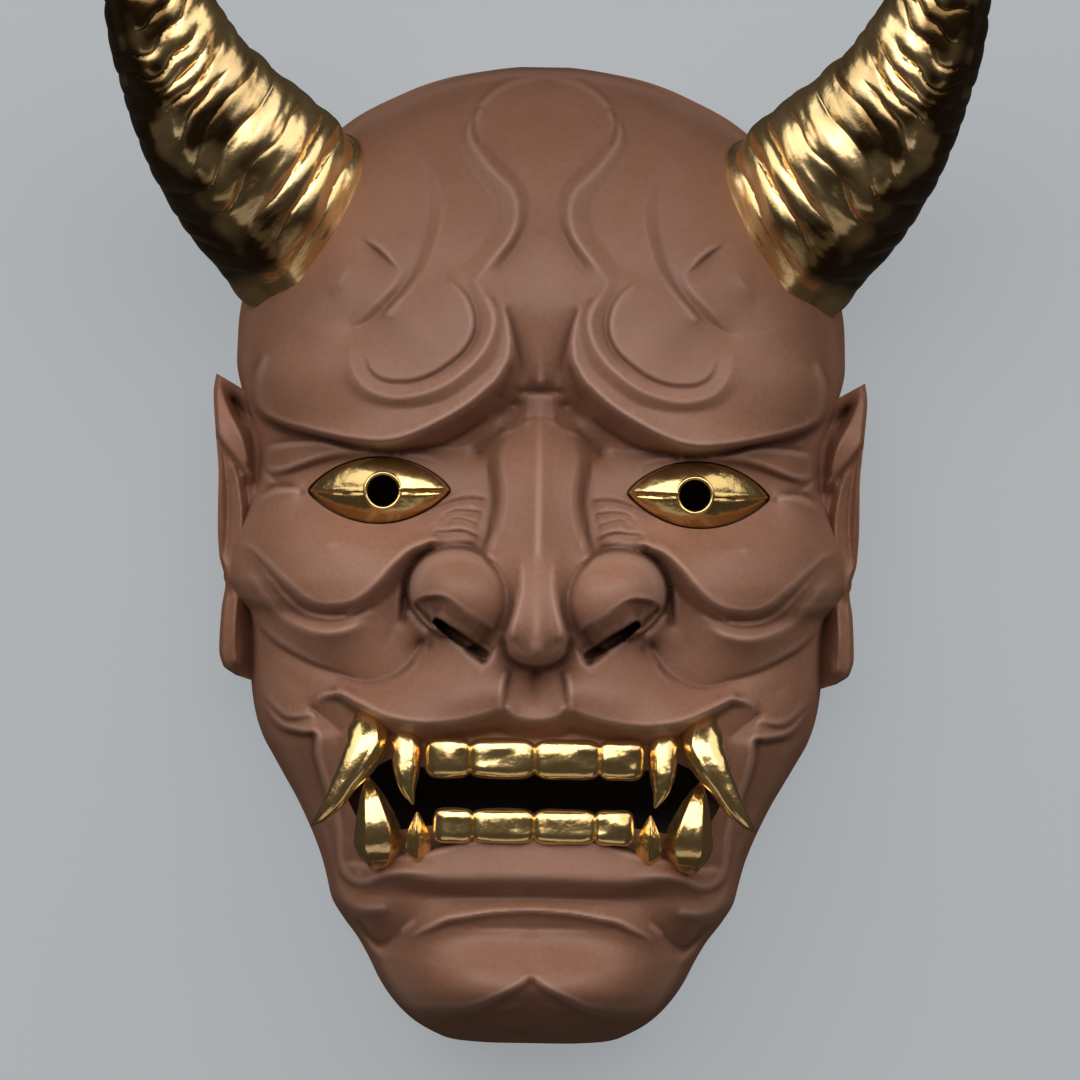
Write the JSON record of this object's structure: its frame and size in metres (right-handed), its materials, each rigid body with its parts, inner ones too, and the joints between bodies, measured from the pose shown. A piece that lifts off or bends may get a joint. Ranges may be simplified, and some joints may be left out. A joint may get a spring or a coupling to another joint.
{
  "type": "oni mask",
  "caption": "Carved demon face mask with a plain hollow back, long curved gilt horns, gilt almond eyes with round pupil holes, and gilt tusks and teeth in an open mouth.",
  "frame": {"origin": "middle of the footprint box at the back rim, with the mask lying face up", "axes": "+Z out of the face, +Y from the chin to the horn tips, +X to the right as the mask is looked at from the front"},
  "size_m": [0.198, 0.268, 0.0967],
  "materials": {
    "wood": "satin terracotta-brown stain over fine grain",
    "horn_left": "polished gilt",
    "horn_right": "polished gilt",
    "eye_left": "polished gilt",
    "eye_right": "polished gilt",
    "teeth_upper": "polished gilt",
    "teeth_lower": "polished gilt",
    "tusk_upper_left": "polished gilt",
    "tusk_upper_right": "polished gilt",
    "fang_upper_left": "polished gilt",
    "fang_upper_right": "polished gilt",
    "fang_lower_left": "polished gilt",
    "fang_lower_right": "polished gilt",
    "tooth_lower_left": "polished gilt",
    "tooth_lower_right": "polished gilt"
  },
  "bodies": {
    "root": {"mask_shell": "wood", "horn_left": "horn_left", "horn_right": "horn_right", "eye_left": "eye_left", "eye_right": "eye_right", "teeth_upper": "teeth_upper", "teeth_lower": "teeth_lower", "tusk_upper_left": "tusk_upper_left", "tusk_upper_right": "tusk_upper_right", "fang_upper_left": "fang_upper_left", "fang_upper_right": "fang_upper_right", "fang_lower_left": "fang_lower_left", "fang_lower_right": "fang_lower_right", "tooth_lower_left": "tooth_lower_left", "tooth_lower_right": "tooth_lower_right"}
  },
  "joints": []
}
